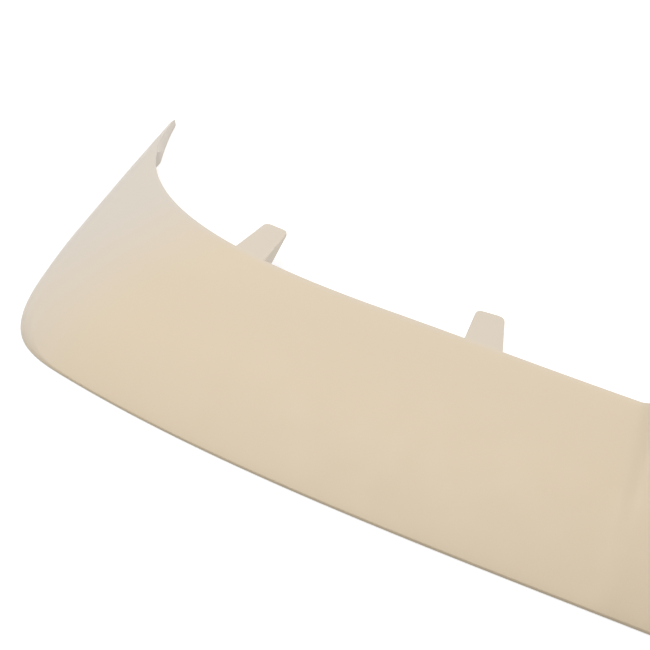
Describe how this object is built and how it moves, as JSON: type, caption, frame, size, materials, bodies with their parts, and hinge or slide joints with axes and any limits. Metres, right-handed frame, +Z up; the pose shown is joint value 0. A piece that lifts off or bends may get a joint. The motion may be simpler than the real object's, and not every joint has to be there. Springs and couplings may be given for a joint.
{
  "type": "roof spoiler",
  "caption": "Wide one-piece roof spoiler: thin crowned sheet, rounded rear corners, blunt side horns, raised middle, fixing tabs along the leading edge.",
  "frame": {"origin": "midway between the ends and midway between the trailing edge and the horn tips, at the level of the lower edges it stands on", "axes": "+X along the width to the car's right, +Y towards the front of the car, +Z up"},
  "size_m": [1.1992, 0.3532, 0.05],
  "materials": {
    "moulding": "satin, unpainted"
  },
  "bodies": {
    "root": {"spoiler": "moulding"}
  },
  "joints": []
}
